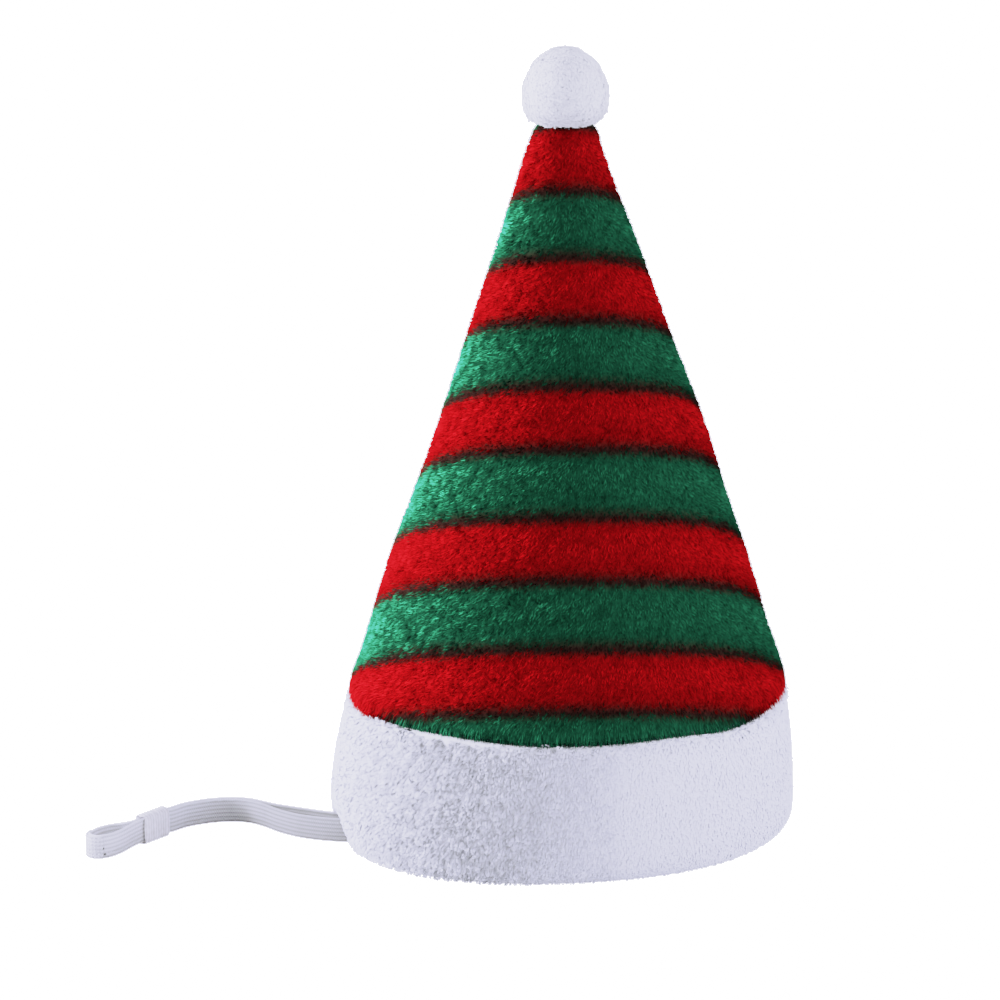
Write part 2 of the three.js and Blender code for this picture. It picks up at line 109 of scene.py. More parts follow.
# The route's points as (x, y, lift) in millimetres, lift being a share of SLIDER_LIFT
ELASTIC_ROUTE = [
    (-42.6, 7.6, 0), (-43.2, 3.2, 0), (-43.0, -0.8, 0), (-42.1, -4.6, 0), (-42.8, -7.9, 0),
    (-45.6, -9.7, 0), (-49.5, -10.0, 0), (-53.8, -8.8, 0), (-58.5, -6.7, 0), (-63.2, -4.4, 0),
    (-66.8, -2.5, 0), (-70.2, 0.0, 0), (-72.6, 1.55, 0), (-76.45, 2.4, 0), (-81.05, 1.95, 0),
    (-84.6, 0.4, 0.06), (-88.0, -2.3, 0.29), (-91.2, -6.85, 0.76), (-92.15, -8.0, 1),
    (-94.85, -11.35, 1), (-97.55, -14.7, 0.94), (-98.4, -15.6, 0.76), (-99.9, -16.2, 0.53),
    (-102.0, -16.3, 0.18), (-104.2, -17.0, 0), (-106.3, -18.8, 0), (-107.7, -21.1, 0),
    (-108.1, -23.0, 0), (-107.0, -24.3, 0), (-105.1, -24.4, 0), (-102.9, -23.0, 0),
    (-100.8, -20.6, 0.18), (-98.8, -18.0, 0.65), (-97.4, -16.3, 0.88), (-96.65, -15.4, 1),
    (-93.95, -12.05, 1), (-91.25, -8.7, 1), (-90.3, -7.55, 0.76), (-87.2, -3.1, 0.29),
    (-84.0, -0.6, 0.06), (-80.75, 0.85, 0), (-76.5, 1.3, 0), (-72.85, 0.45, 0),
    (-69.3, -2.3, 0), (-65.6, -6.5, 0), (-61.0, -10.3, 0), (-55.9, -12.7, 0), (-51.8, -13.8, 0),
    (-47.5, -14.5, 0), (-43.0, -14.6, 0), (-37.0, -14.4, 0), (-28.0, -14.6, 0),
    (-18.0, -15.4, 0), (-7.0, -16.2, 0), (4.0, -16.2, 0), (15.0, -14.6, 0), (25.0, -11.2, 0),
    (33.0, -6.8, 0), (39.0, -1.6, 0), (42.2, 3.0, 0), (43.2, 8.0, 0), (42.0, 13.2, 0),
]


def length_along(line):
    """How far along the line each of its points lies."""
    return np.concatenate([[0], np.cumsum(np.linalg.norm(np.diff(line, axis=0), axis=1))])


def sideways(line):
    """Level directions square to the line."""
    ahead = np.gradient(line, axis=0)
    across = np.stack([ahead[:, 1], -ahead[:, 0], np.zeros(len(line))], 1)
    return across / np.linalg.norm(across, axis=1)[:, None]


def smooth_line(points, steps):
    """A smooth line through the points, with that many steps between one point and the next."""
    ends = np.vstack([2 * points[0] - points[1], points, 2 * points[-1] - points[-2]])
    line = []
    for before, start, end, after in zip(ends, ends[1:], ends[2:], ends[3:]):
        gaps = [np.linalg.norm(b - a) ** 0.5 for a, b in
                ((before, start), (start, end), (end, after))]
        leave = (start - before) / gaps[0] - (end - before) / (gaps[0] + gaps[1])
        leave = (leave + (end - start) / gaps[1]) * gaps[1]
        arrive = (end - start) / gaps[1] - (after - start) / (gaps[1] + gaps[2])
        arrive = (arrive + (after - end) / gaps[2]) * gaps[1]
        for t in np.arange(steps) / steps:
            line.append(
                (2 * t**3 - 3 * t**2 + 1) * start + (t**3 - 2 * t**2 + t) * leave
                + (3 * t**2 - 2 * t**3) * end + (t**3 - t**2) * arrive
            )
    return np.array(line + [points[-1]])


def mesh_piece(name, places, faces, material):
    """A new smooth-shaded piece at the origin, made of that mesh and material."""
    mesh = bpy.data.meshes.new(name)
    mesh.from_pydata([tuple(p) for p in places], [], faces)
    mesh.update()
    mesh.polygons.foreach_set("use_smooth", [True] * len(mesh.polygons))
    mesh.materials.append(material)
    piece = bpy.data.objects.new(name, mesh)
    bpy.context.scene.collection.objects.link(piece)
    return piece


def ribbon(name, line, section, material):
    """A ribbon that stands upright along the line. section is its outline as (across, up)."""
    up = np.array([0.0, 0.0, 1.0])
    rings = line[:, None] + section[None, :, :1] * sideways(line)[:, None]
    rings = rings + section[None, :, 1:] * up
    count = len(section)
    faces = []
    for i in range(len(line) - 1):
        for k in range(count):
            m = (k + 1) % count
            faces.append((i * count + k, i * count + m, (i + 1) * count + m,
                          (i + 1) * count + k))
    faces.append(tuple(reversed(range(count))))
    faces.append(tuple(range((len(line) - 1) * count, len(line) * count)))
    piece = mesh_piece(name, rings.reshape(-1, 3), faces, material)
    along = length_along(line)
    cloth_map = piece.data.uv_layers.new(name="cloth").data
    for face in piece.data.polygons:
        for corner in face.loop_indices:
            vertex = piece.data.loops[corner].vertex_index
            ring, k = divmod(vertex, count)
            cloth_map[corner].uv = (along[ring] * 1000, section[k][1] * 1000)
    return piece


def elastic_section(wide, thick):
    """Outline of the elastic: ribs on both faces, thinner and rounded at its two edges."""
    ups = np.linspace(-1, 1, 4 * ELASTIC_RIBS + 1)
    ribs = 1 - np.abs(np.sin(ups * ELASTIC_RIBS * math.pi / 2 + (ELASTIC_RIBS % 2) * math.pi / 2))
    edge = np.sqrt(np.clip(1 - np.abs(ups) ** EDGE_SHARPNESS, 0, 1))
    half = (thick / 2 - RIB_DEPTH * ribs) * (EDGE_THICKNESS + (1 - EDGE_THICKNESS) * edge)
    face = np.stack([half, ups * wide / 2], 1)
    back = np.stack([-half, ups * wide / 2], 1)[::-1]
    return np.vstack([face, back])


def new_material(name, **values):
    """A material with those values on its shader's own sockets. Gives its tree and shader too."""
    material = bpy.data.materials.new(name)
    material.use_nodes = True
    shader = material.node_tree.nodes["Principled BSDF"]
    for socket, value in values.items():
        shader.inputs[socket.replace("_", " ")].default_value = value
    return material, material.node_tree, shader


def sums(tree, operation, *terms):
    """A Math node fed by sockets or numbers. Gives its output."""
    node = tree.nodes.new("ShaderNodeMath")
    node.operation = operation
    for socket, term in zip(node.inputs, terms):
        if isinstance(term, (int, float)):
            socket.default_value = term
        else:
            tree.links.new(term, socket)
    return node.outputs[0]


def colour_ramp(tree, factor, stops, interpolation="LINEAR"):
    """A colour ramp fed by factor. stops are (place, colour). Gives its colour output."""
    node = tree.nodes.new("ShaderNodeValToRGB")
    ramp = node.color_ramp
    ramp.interpolation = interpolation
    while len(ramp.elements) > 1:
        ramp.elements.remove(ramp.elements[-1])
    ramp.elements[0].position, ramp.elements[0].color = stops[0][0], (*stops[0][1], 1)
    for place, colour in stops[1:]:
        ramp.elements.new(place).color = (*colour, 1)
    tree.links.new(factor, node.inputs[0])
    return node.outputs[0]


def own_place(tree):
    """Where a point lies on the piece itself."""
    return tree.nodes.new("ShaderNodeTexCoord").outputs["Object"]


def grain_at(tree, place, scale, detail=2):
    """Fine noise of that scale. Gives its value."""
    grain = tree.nodes.new("ShaderNodeTexNoise")
    grain.inputs["Scale"].default_value = scale
    grain.inputs["Detail"].default_value = detail
    tree.links.new(place, grain.inputs["Vector"])
    return grain.outputs[0]


def scaled(tree, vector, factor):
    """A colour or vector times a factor."""
    node = tree.nodes.new("ShaderNodeVectorMath")
    node.operation = "SCALE"
    tree.links.new(vector, node.inputs[0])
    tree.links.new(factor, node.inputs["Scale"])
    return node.outputs[0]


def split(tree, vector):
    """The X, Y and Z of a vector."""
    node = tree.nodes.new("ShaderNodeSeparateXYZ")
    tree.links.new(vector, node.inputs[0])
    return node.outputs


def bump(tree, shader, height, strength, distance):
    """Puts a height on the shader's normal."""
    node = tree.nodes.new("ShaderNodeBump")
    node.inputs["Strength"].default_value = strength
    node.inputs["Distance"].default_value = distance
    tree.links.new(height, node.inputs["Height"])
    tree.links.new(node.outputs[0], shader.inputs["Normal"])


def elastic_material(holes):
    """White covered rubber: pale ribs, grooves greyed by painted shade, a fine weave across them
    with painted shade in its gaps, needle holes, and painted light and shade along it and up it.
    """
    material, tree, shader = new_material(
        "white elastic", Roughness=0.7, Specular_IOR_Level=0.2)
    cloth = tree.nodes.new("ShaderNodeUVMap")
    cloth.uv_map = "cloth"
    at_length, at_width, _ = split(tree, cloth.outputs[0])
    pitch = ELASTIC_WIDTH * 1000 / ELASTIC_RIBS
    rib = sums(tree, "COSINE", sums(tree, "MULTIPLY", at_width, 2 * math.pi / pitch))
    pick = sums(tree, "SINE", sums(tree, "MULTIPLY", at_length, 2 * math.pi / PICK_LENGTH))
    weave = sums(tree, "MULTIPLY", rib, pick)
    # Painted shade: the grooves between the ribs and the gaps in the weave are greyer
    tint = sums(tree, "ADD", sums(tree, "MULTIPLY", rib, RIB_GROOVE_SHADE),
                sums(tree, "MULTIPLY", weave, WEAVE_GAP_SHADE))
    solid = 1.0
    for along, up in holes:
        aside = sums(tree, "SUBTRACT", at_length, along)
        above = sums(tree, "SUBTRACT", at_width, up)
        away = sums(tree, "SQRT", sums(tree, "ADD", sums(tree, "MULTIPLY", aside, aside),
                                       sums(tree, "MULTIPLY", above, above)))
        edge = sums(tree, "SMOOTH_MIN", sums(tree, "DIVIDE", away, 2 * HOLE_RADIUS), 1.0,
                    HOLE_RIM)
        solid = sums(tree, "MULTIPLY", sums(tree, "POWER", edge, HOLE_FALL), solid)
    tint = sums(tree, "MULTIPLY", sums(tree, "ADD", tint, MIDDLE_TINT), solid)
    colour = colour_ramp(tree, tint, ELASTIC_TINTS)
    # Painted light and shade: the colour is scaled by its place along X, and is darker down at the
    # floor
    x_place, _, z_place = split(tree, own_place(tree))
    reach = sums(tree, "DIVIDE", sums(tree, "SUBTRACT", x_place, LIGHT_AND_SHADE_FROM), LIGHT_AND_SHADE_REACH)
    white = colour_ramp(tree, reach, [((x - LIGHT_AND_SHADE_FROM) / LIGHT_AND_SHADE_REACH,
                                       (much / LIGHT_AND_SHADE_MOST,) * 3) for x, much in LIGHT_AND_SHADE_ALONG_X])
    height = sums(tree, "ADD", sums(tree, "MULTIPLY", z_place, LIT_SHARE_UP), LIT_SHARE_AT_FLOOR)
    painted_light_and_shade = sums(tree, "MULTIPLY", sums(tree, "MULTIPLY", white, height), LIGHT_AND_SHADE_MOST)
    tree.links.new(scaled(tree, colour, painted_light_and_shade), shader.inputs["Base Color"])
    bump(tree, shader, weave, strength=0.5, distance=WEAVE_RELIEF)
    return material


route = np.array([(x / 1000, y / 1000, FLOOR_LIFT + lift * SLIDER_LIFT)
                  for x, y, lift in ELASTIC_ROUTE])
elastic_line = smooth_line(route, STEPS_PER_POINT)
elastic_along = length_along(elastic_line)
hole_places = [(1000 * np.interp(x, elastic_line[FRONT_OF_TAIL, 0], elastic_along[FRONT_OF_TAIL]),
                up) for x, up in NEEDLE_HOLES]
white_elastic = elastic_material(hole_places)
elastic = ribbon("chin_elastic", elastic_line, elastic_section(ELASTIC_WIDTH, ELASTIC_THICKNESS),
                 white_elastic)
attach(elastic, "root")
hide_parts("elastic_strap")


# Lap and stitches

# At the end of the tail the elastic is folded back on itself. Its cut end lies flat on the outer
# side, held down by rows of short slanting stitches in white thread.
LAP = slice(154, 175)  # steps of the elastic's line that the sewn-down end lies on
LAP_WIDTH = 0.0053
LAP_THICKNESS = 0.00045
STITCH_ROWS = 7
STITCH_SLANT = 0.00035
STITCH_RADIUS = 0.00011
STITCH_SIDES = 6
STITCH_SHAPE = [(0.0, 0.35), (0.25, 1.0), (0.75, 1.0), (1.0, 0.35)]  # (along it, share of radius)
THREAD_GRAIN = 2500
THREAD_TINTS = [(0.3, (0.50, 0.50, 0.54)), (0.7, (0.70, 0.70, 0.74))]


def thread_material():
    """White sewing thread, with a fine twist."""
    material, tree, shader = new_material("sewing thread", Roughness=0.6, Specular_IOR_Level=0.2)
    twist = grain_at(tree, own_place(tree), THREAD_GRAIN)
    tree.links.new(colour_ramp(tree, twist, THREAD_TINTS), shader.inputs["Base Color"])
    return material


def add_stitch(start, end, outward, places, faces):
    """Adds one stitch, a closed bar with narrow ends, to the places and faces of a mesh."""
    run = (end - start) / np.linalg.norm(end - start)
    side = np.cross(run, outward)
    first = len(places)
    for at, size in STITCH_SHAPE:
        for k in range(STITCH_SIDES):
            turn = k * 2 * math.pi / STITCH_SIDES
            places.append(start + at * (end - start) + STITCH_RADIUS * size
                          * (math.cos(turn) * side + math.sin(turn) * outward))
    last = first + STITCH_SIDES * (len(STITCH_SHAPE) - 1)
    for ring in range(first, last, STITCH_SIDES):
        for k in range(STITCH_SIDES):
            a, b = ring + k, ring + (k + 1) % STITCH_SIDES
            faces.append((a, a + STITCH_SIDES, b + STITCH_SIDES, b))
    faces.append(tuple(first + k for k in range(STITCH_SIDES)))
    faces.append(tuple(last + k for k in reversed(range(STITCH_SIDES))))


lap_line = elastic_line[LAP]
outward = sideways(lap_line)
if outward[len(outward) // 2, 0] > 0:  # the outer side of the tail faces away from the hat
    outward = -outward
lap_line = lap_line + outward * (ELASTIC_THICKNESS + LAP_THICKNESS) / 2
lap = ribbon("tail_lap", lap_line, elastic_section(LAP_WIDTH, LAP_THICKNESS), white_elastic)
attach(lap, "root")

places, faces = [], []
for row in range(STITCH_ROWS):
    up = LAP_WIDTH * ((row + 0.5) / STITCH_ROWS - 0.5)
    for step in range(1, len(lap_line) - 2, 2):
        start = lap_line[step] + outward[step] * LAP_THICKNESS / 2
        end = lap_line[step + 1] + outward[step + 1] * LAP_THICKNESS / 2
        start[2] += up - STITCH_SLANT / 2
        end[2] += up + STITCH_SLANT / 2
        add_stitch(start, end, outward[step], places, faces)
stitches = mesh_piece("tail_stitches", places, faces, thread_material())
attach(stitches, "root")


# Slider

# A small sleeve of soft matte plastic, ribbed round its outside, that holds both strands side by
# side. The strands are pushed through it, and friction keeps it where it is.
SLOT_TURN = math.radians(51)  # direction of its slot
FINE_RIB = 0.00082  # from one fine rib to the next
FINE_RIB_RELIEF = 0.00008
# painted light and shade across the fine ribs
FINE_RIB_SHADE = 0.22
SLIDER_GRAIN = 900
SLIDER_TINTS = [(0.2, (0.60, 0.58, 0.60)), (0.8, (0.86, 0.845, 0.89))]


def copy_of_solid(node, name):
    """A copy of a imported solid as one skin, in quads again where it was lofted."""
    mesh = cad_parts[node].data.copy()
    mesh.name = name
    mesh.materials.clear()
    piece = bpy.data.objects.new(name, mesh)
    bpy.context.scene.collection.objects.link(piece)
    bpy.ops.object.select_all(action="DESELECT")
    piece.select_set(True)
    bpy.context.view_layer.objects.active = piece
    bpy.ops.object.mode_set(mode="EDIT")
    bpy.ops.mesh.select_all(action="SELECT")
    bpy.ops.mesh.remove_doubles(threshold=1e-6)
    bpy.ops.mesh.tris_convert_to_quads(face_threshold=math.pi, shape_threshold=math.pi)
    bpy.ops.mesh.normals_make_consistent(inside=False)
    bpy.ops.object.mode_set(mode="OBJECT")
    return piece


def finish_with(piece, kind, **values):
    """Adds a modifier with those values and applies it."""
    modifier = piece.modifiers.new(kind.lower(), kind)
    for name, value in values.items():
        setattr(modifier, name, value)
    bpy.context.view_layer.objects.active = piece
    bpy.ops.object.modifier_apply(modifier=modifier.name)


def dress(piece, material):
    """Gives a piece its material and shades it smooth."""
    piece.data.materials.append(material)
    piece.data.polygons.foreach_set("use_smooth", [True] * len(piece.data.polygons))


def slider_material():
    """Matte white plastic, mottled warm grey to white, with painted light and shade across its fine
    ribs.
    """
    material, tree, shader = new_material(
        "slider plastic", Roughness=0.48, Specular_IOR_Level=0.35, Subsurface_Weight=0.15,
        Subsurface_Scale=0.001, Subsurface_Radius=(1.0, 1.0, 1.0))
    place = own_place(tree)
    grain = grain_at(tree, place, SLIDER_GRAIN, detail=3)
    along = tree.nodes.new("ShaderNodeVectorMath")
    along.operation = "DOT_PRODUCT"
    along.inputs[1].default_value = (math.cos(SLOT_TURN), math.sin(SLOT_TURN), 0)
    tree.links.new(place, along.inputs[0])
    rib = sums(tree, "SINE", sums(tree, "MULTIPLY", along.outputs["Value"],
                                  2 * math.pi / FINE_RIB))
    # Painted light and shade across the fine ribs
    tint = sums(tree, "ADD", sums(tree, "MULTIPLY", rib, FINE_RIB_SHADE), grain)
    tree.links.new(colour_ramp(tree, tint, SLIDER_TINTS), shader.inputs["Base Color"])
    bump(tree, shader, rib, strength=0.5, distance=FINE_RIB_RELIEF)
    return material


slider = copy_of_solid("strap_slider", "slider_sleeve")
finish_with(slider, "SUBSURF", levels=2, render_levels=2)
dress(slider, slider_material())
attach(slider, "root")
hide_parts("strap_slider")


# Crown

# A cone of short-pile plush, cut flat as a fan and sewn up the back. Red and green stripes run
# straight across the flat cloth, with near-black pile where two colours meet.
APEX = Vector((0.0014, 0.0, 0.1856))  # where the cone's sides would meet
HALF_ANGLE = math.radians(18.75)
STRIPE_EDGES = [0.0205, 0.0356, 0.0505, 0.0647, 0.0794, 0.0936, 0.1088, 0.1231, 0.1382, 0.1523]
DARK_HALF = 0.0008  # half the width of the dark pile between two stripes
FADE_ABOVE = 0.0023  # above a dark line the pile is e times less darkened at each such step,
FADE_BELOW = 0.0012  # and below it at each such step
GROUND_ABOVE = 0.0036  # the ground fades to dark over this much above a line,
GROUND_BELOW = 0.0024  # and back to colour over this much below it
GROUND_SHADE = 0.35  # painted shade: its colours are this share of the pile's, deep under the pile
FAN_REACH = 0.2  # longer than the flat cloth
GROUND_GRAIN = 1800
GRAIN_SQUEEZE = 0.4  # the grain runs up and down in streaks, stretched by one over this
GROUND_RELIEF = 0.0002
CROWN_PILE = 108000  # fibres
CROWN_CLUMPS = 6500  # small tufts that the fibres gather in
CLUMP_SIZE = 0.0013  # a clump's reach from its middle
CLUMP_UNEVEN = 0.16  # how much longer or shorter the pile is from place to place
CROWN_SINK = 0.0005  # the woven ground lies this far under the pile's face
SEAM_WIDTH = 0.0012  # how far from the seam down the back the pile is parted
SEAM_FADE = 0.005  # at the seam the ground comes up to the face over this height
PILE_LENGTH = 0.00105
PILE_WIDTH = 0.00018  # a fibre's half width at its wide end
PILE_SPREAD = 5.0  # a tone of 0 or 1 darkens or lightens a fibre by e to the half of this
PILE_ROOT_SHADE = 0.25  # painted shade: a coloured fibre's root has this share of its colour, deep in the pile
ROOT_DEPTH = 0.0002  # fibres start this far inside the skin
CLUMP_LONG = 2.2  # a clump is this many times longer along the nap than across it
CLUMP_SLOPE = -45  # degrees by which the clumps lie askew on the flat cloth
NAP_LEAN = 52  # degrees that the pile leans over, and how much that drifts
NAP_LEAN_DRIFT = 12
NAP_ASIDE = 25  # degrees that it is brushed aside, on the left more than on the right
NAP_ASIDE_TURN = 22
NAP_ASIDE_DRIFT = 26
RUFFLED_MIDDLE = -40  # degrees round from the front: the pile is ruffled here
RUFFLED_SPREAD = 38
PARTED = 0.9  # how strongly the pile leans away from the seam down the back,
PARTED_SHORTER = 0.6  # how much shorter it is there,
PARTED_GROOVE = 0.7  # and how deep the groove between looks
GATHER = 0.3  # share of the way that a fibre in a clump's middle bends to the clump's tip
GATHER_REACH = 0.003
HANG_HEIGHT = 0.0035  # the lowest pile hangs over the band's top edge, fading out above this
HANG_FULL = 1.4
HANG_OUT = 0.45
HANG_LONGER = 0.7
HANG_THINNER = 0.3
FIBRE_JITTER = 0.2
LENGTH_JITTER = 0.12
# Strengths as (where the pile is smooth, how much more where it is ruffled)
CLUMP_BULGE = (0.3, 0.7)
FIBRE_RUFFLE = (0.2, 0.25)
FIBRE_FLECK = (0.09, 0.06)
CLUMP_FLECK = (0.06, 0.07)
# painted shade in the gaps between the clumps
CLUMP_GAP_SHADE = (0.04, 0.32)
PALE_FLECK = 0.65  # pale flecks are weaker than dark ones
DARK_FLECK = 1.25
SEEN_AT = 0.55  # the place along a fibre where its colour is seen
EDGE_RAGGED = 0.0006  # how ragged a stripe's edge is from fibre to fibre,
CLUMP_RAGGED = 0.0003  # and from clump to clump
DARK_DRIFT = 0.25  # how much the dark pile's width drifts, and differs from clump to clump
DARK_UNEVEN = 0.2
LEFT_FROM = 0.35  # sine of the angle past which the crown counts as its left side
LEFT_LESS_DARK = 0.4  # painted light: dark lines are this much fainter at the far left, where the key light falls
LOW_FROM = 0.075  # painted light: the red is paler low on the left, from this height down
LOW_FADE = 0.04
# How much stronger each colour's tone is in pale flecks and near a dark line, and how much paler it
# is made as painted light on the left, the far left and low on the left, and for the green where the
# pile is ruffled
TONE_FOLLOWS = {
    "red": {"fleck_and_gap_shade": 1.9, "left": 0.36, "low_left": 0.2, "near_dark": -2.4},
    "green": {"fleck_and_gap_shade": 3.2, "left": 0.65, "far_left": 0.55, "ruffled": 0.15, "near_dark": -2.2},
    "dark": {"fleck_and_gap_shade": 1.5, "left": 1.4},
}
RED = (0.46, 0.0046, 0.0072)
GREEN = (0.0135, 0.116, 0.059)
DARK = (0.015, 0.0062, 0.0052)
BAND_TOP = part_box("brim_band")[1].z


def points_of(piece):
    """The places and normals of a piece's vertices."""
    places = np.empty(len(piece.data.vertices) * 3, np.float32)
    normals = np.empty_like(places)
    piece.data.vertices.foreach_get("co", places)
    piece.data.vertices.foreach_get("normal", normals)
    return places.reshape(-1, 3).astype(float), normals.reshape(-1, 3).astype(float)


def sink(piece, share, depth):
    """Moves each vertex in along its normal, by its share of the depth."""
    places, normals = points_of(piece)
    places -= normals * share(places, normals)[:, None] * depth
    piece.data.vertices.foreach_set("co", places.astype(np.float32).ravel())
    piece.data.update()


def unit(vectors):
    """The same directions, each of length 1."""
    return vectors / np.maximum(np.linalg.norm(vectors, axis=1), 1e-12)[:, None]


def scatter(piece, keep, count, dice):
    """Roots spread evenly over the skin, where keep says so. Gives their places and normals."""
    places, normals = points_of(piece)
    piece.data.calc_loop_triangles()
    corners = np.empty(len(piece.data.loop_triangles) * 3, np.int32)
    piece.data.loop_triangles.foreach_get("vertices", corners)
    corners = corners.reshape(-1, 3)
    middle, facing = places[corners].mean(1), unit(normals[corners].mean(1))
    a, b, c = (places[corners[:, k]] for k in range(3))
    weight = np.linalg.norm(np.cross(b - a, c - a), axis=1) * keep(middle, facing)
    steps = np.cumsum(weight)
    at = (np.arange(count) + dice.random(count)) * steps[-1] / count
    found = corners[np.minimum(np.searchsorted(steps, at), len(corners) - 1)]
    first, second = dice.random((2, count))
    over = first + second > 1
    first[over], second[over] = 1 - first[over], 1 - second[over]
    shares = np.stack([1 - first - second, first, second], 1)[:, :, None]
    return (places[found] * shares).sum(1), unit((normals[found] * shares).sum(1))


def nearest(points, centres):
    """For each point, which of the centres is nearest."""
    tree = KDTree(len(centres))
    for index, centre in enumerate(centres):
        tree.insert(centre, index)
    tree.balance()
    return np.array([tree.find(point)[1] for point in points])


def drift(points, size, seed):
    """Smooth noise from -1 to 1 that changes over about that size."""
    shift = Vector((seed * 7.31, seed * 3.17, seed * 5.73))
    return np.array([noise.noise(Vector(p) / size + shift) for p in points])


ASKEW = [0.31, 0.52, 0.79]  # a direction that no fibre lies along
PRESSED_TURN = 0.92  # a flat fibre turns this much less about itself than a round one
PRESSED_THIN = 0.6  # and is this much thinner
MAP_WIDTH = 0.004  # each fibre's place on its map has a small area of its own
MAP_DEPTH = 0.02


def fibres(name, roots, tips, width, soft, tone, dice, material, blunt=False, flat=0.0):
    """Slim closed pyramids, pointed at their tips, or at their roots if blunt, shaded as if they
    faced along soft. flat is 0 for round ones and 1 for ones pressed flat against the cloth.
    Their map holds (tone, place along the fibre)."""
    count = len(roots)
    axis = unit(tips - roots)
    side = unit(np.cross(axis, soft if blunt else ASKEW))
    other = np.cross(axis, side)
    turn = dice.random(count) * 2 * math.pi * (1 - PRESSED_TURN * flat)
    wide_end, point = (tips, roots) if blunt else (roots, tips)
    places = np.empty((count, 4, 3))
    for k in range(3):
        angle = turn + k * math.pi * (2 / 3 - flat / 6)
        reach = width * (1 - PRESSED_THIN * flat) if k == 1 else width
        places[:, k] = wide_end + reach[:, None] * (
            np.cos(angle)[:, None] * side + np.sin(angle)[:, None] * other)
    places[:, 3] = point
    corners = np.array([0, 2, 1, 0, 1, 3, 1, 2, 3, 2, 0, 3])
    if blunt:
        corners = corners.reshape(4, 3)[:, ::-1].ravel()
    loops = (np.arange(count)[:, None] * 4 + corners).ravel()
    mesh = bpy.data.meshes.new(name)
    mesh.vertices.add(4 * count)
    mesh.vertices.foreach_set("co", places.astype(np.float32).ravel())
    mesh.loops.add(12 * count)
    mesh.loops.foreach_set("vertex_index", loops.astype(np.int32))
    mesh.polygons.add(4 * count)
    mesh.polygons.foreach_set("loop_start", np.arange(0, 12 * count, 3, dtype=np.int32))
    mesh.update(calc_edges=True)
    mesh.validate()
    mesh.polygons.foreach_set("use_smooth", [True] * len(mesh.polygons))
    near, far = (1.0, 0.0) if blunt else (0.0, 1.0)
    spots = np.array([(-MAP_WIDTH, near), (MAP_WIDTH, near), (0.0, abs(near - MAP_DEPTH)),
                      (0.0, far)])
    tone = np.clip(tone, 0.01, 0.99)
    along = spots[corners][None] + np.stack([tone, np.zeros(count)], 1)[:, None]
    mesh.uv_layers.new(name="OFBake").data.foreach_set("uv", along.astype(np.float32).ravel())
    mesh.normals_split_custom_set_from_vertices(np.repeat(soft, 4, axis=0).tolist())
    mesh.materials.append(material)
    piece = bpy.data.objects.new(name, mesh)
    bpy.context.scene.collection.objects.link(piece)
    return piece


def uneven(width, count, dice):
    """Widths of that many fibres, mostly within a fifth of the given one."""
    return width * (1 + 0.2 * dice.normal(size=count)).clip(0.5, 1.6)


def strength(least_and_more, share):
    """A strength given as (where the share is 0, how much more where it is 1)."""
    least, more = least_and_more
    return least + more * share


def relief(roots, skin, middles, clump, size, bulge, ruffle, dice):
    """Normals of a skin that bulges at each clump and is ruffled from fibre to fibre."""
    away = (roots - middles[clump]) / size
    return unit(skin + bulge * away + ruffle * dice.normal(size=roots.shape))


def fibre_tone_group():
    """Node group: a fibre's colour with painted shade at its root, lighter or darker by its tone."""
    group = bpy.data.node_groups.new("fibre tone", "ShaderNodeTree")
    for name, kind in (("Fibre", "NodeSocketVector"), ("Body", "NodeSocketColor"),
                       ("Root Shade", "NodeSocketFloat"), ("Spread", "NodeSocketFloat")):
        group.interface.new_socket(name=name, in_out="INPUT", socket_type=kind)
    group.interface.new_socket(name="Color", in_out="OUTPUT", socket_type="NodeSocketColor")
    given, made = group.nodes.new("NodeGroupInput"), group.nodes.new("NodeGroupOutput")
    own_tone, along_fibre, _ = split(group, given.outputs["Fibre"])
    # Painted shade: the colour darkens towards the fibre's root
    along = sums(group, "POWER", along_fibre, 0.7)
    lit = sums(group, "ADD", given.outputs["Root Shade"],
               sums(group, "MULTIPLY", along,
                    sums(group, "SUBTRACT", 1.0, given.outputs["Root Shade"])))
    tone = sums(group, "MULTIPLY", sums(group, "SUBTRACT", own_tone, 0.5),
                given.outputs["Spread"])
    factor = sums(group, "MULTIPLY", lit, sums(group, "EXPONENT", tone))
    group.links.new(scaled(group, given.outputs["Body"], factor), made.inputs["Color"])
    return group


fibre_tone = fibre_tone_group()


def fibre_material(name, body, root_shade, spread):
    """Dull polyester pile of one colour."""
    material, tree, shader = new_material(name, Roughness=0.8, Specular_IOR_Level=0.0)
    fibre = tree.nodes.new("ShaderNodeUVMap")
    fibre.uv_map = "OFBake"
    tone = tree.nodes.new("ShaderNodeGroup")
    tone.node_tree = fibre_tone
    tone.inputs["Body"].default_value = (*body, 1)
    tone.inputs["Root Shade"].default_value = root_shade
    tone.inputs["Spread"].default_value = spread
    tree.links.new(fibre.outputs[0], tone.inputs["Fibre"])
    tree.links.new(tone.outputs[0], shader.inputs["Base Color"])
    return material


def on_flat_cloth(places):
    """Where points of the cone lie on the cloth before it was sewn: (across, down its middle)."""
    x, y, z = (places - np.array(APEX)).T
    slant = np.sqrt(x * x + y * y + z * z)
    fan = np.arctan2(x, -y) * math.sin(HALF_ANGLE)
    return np.stack([slant * np.sin(fan), slant * np.cos(fan)], 1)


